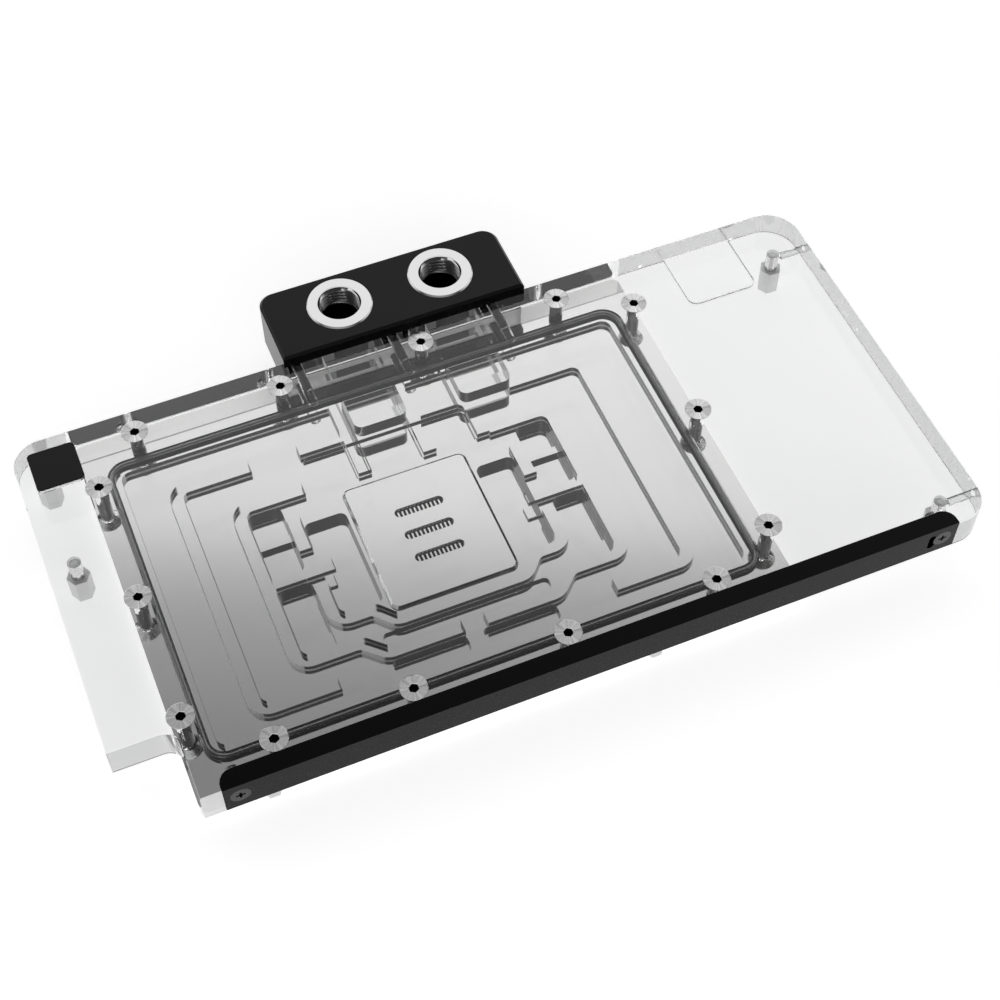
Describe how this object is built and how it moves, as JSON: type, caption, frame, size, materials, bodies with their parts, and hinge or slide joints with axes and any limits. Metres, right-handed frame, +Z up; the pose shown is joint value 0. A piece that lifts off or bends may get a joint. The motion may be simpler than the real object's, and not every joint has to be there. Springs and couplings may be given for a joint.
{
  "type": "gpu water block",
  "caption": "Full-cover liquid cooler for a graphics card: nickel-plated cold plate under a clear cover with milled flow guides, dark port terminal and light bar.",
  "frame": {"origin": "middle of the face that touches the graphics chip, in the plane of that face", "axes": "+Z up from the card to the clear cover, +X along the long side away from the notched tab, +Y towards the port terminal"},
  "size_m": [0.254, 0.1533, 0.0242],
  "materials": {
    "clear_cover": "clear cast acrylic, polished faces, milled pockets",
    "nickel_plate": "bright nickel plating on copper",
    "jet_plate": "smooth sheet steel",
    "seal_rubber": "black seal cord",
    "screw_steel": "turned stainless steel",
    "terminal_plastic": "black machined plastic, satin",
    "ring_metal": "bright nickel-plated brass",
    "dark_screw": "blackened steel",
    "light_bar": "black anodised aluminium, satin",
    "lamp_board": "black circuit board",
    "lamps": "unlit lamp body with a pale lens",
    "badge_plate": "black anodised aluminium, bare",
    "standoff_metal": "bright plated brass"
  },
  "bodies": {
    "root": {"clear_cover": "clear_cover", "cold_plate": "nickel_plate", "jet_plate": "jet_plate", "main_seal": "seal_rubber", "cover_screws": "screw_steel", "port_terminal": "terminal_plastic", "port_ring_left": "ring_metal", "port_ring_right": "ring_metal", "duct_seal_left": "seal_rubber", "duct_seal_right": "seal_rubber", "terminal_screw_left": "dark_screw", "terminal_screw_middle": "dark_screw", "terminal_screw_right": "dark_screw", "light_bar": "light_bar", "bar_screw_left": "dark_screw", "bar_screw_right": "dark_screw", "lamp_board": "lamp_board", "lamps": "lamps", "badge_plate": "badge_plate", "cover_standoff_right_back": "standoff_metal", "cover_standoff_right_front": "standoff_metal", "cover_standoff_left_front": "standoff_metal", "cover_standoff_left_back": "standoff_metal", "chip_standoffs": "standoff_metal", "card_standoffs": "standoff_metal"}
  },
  "joints": []
}
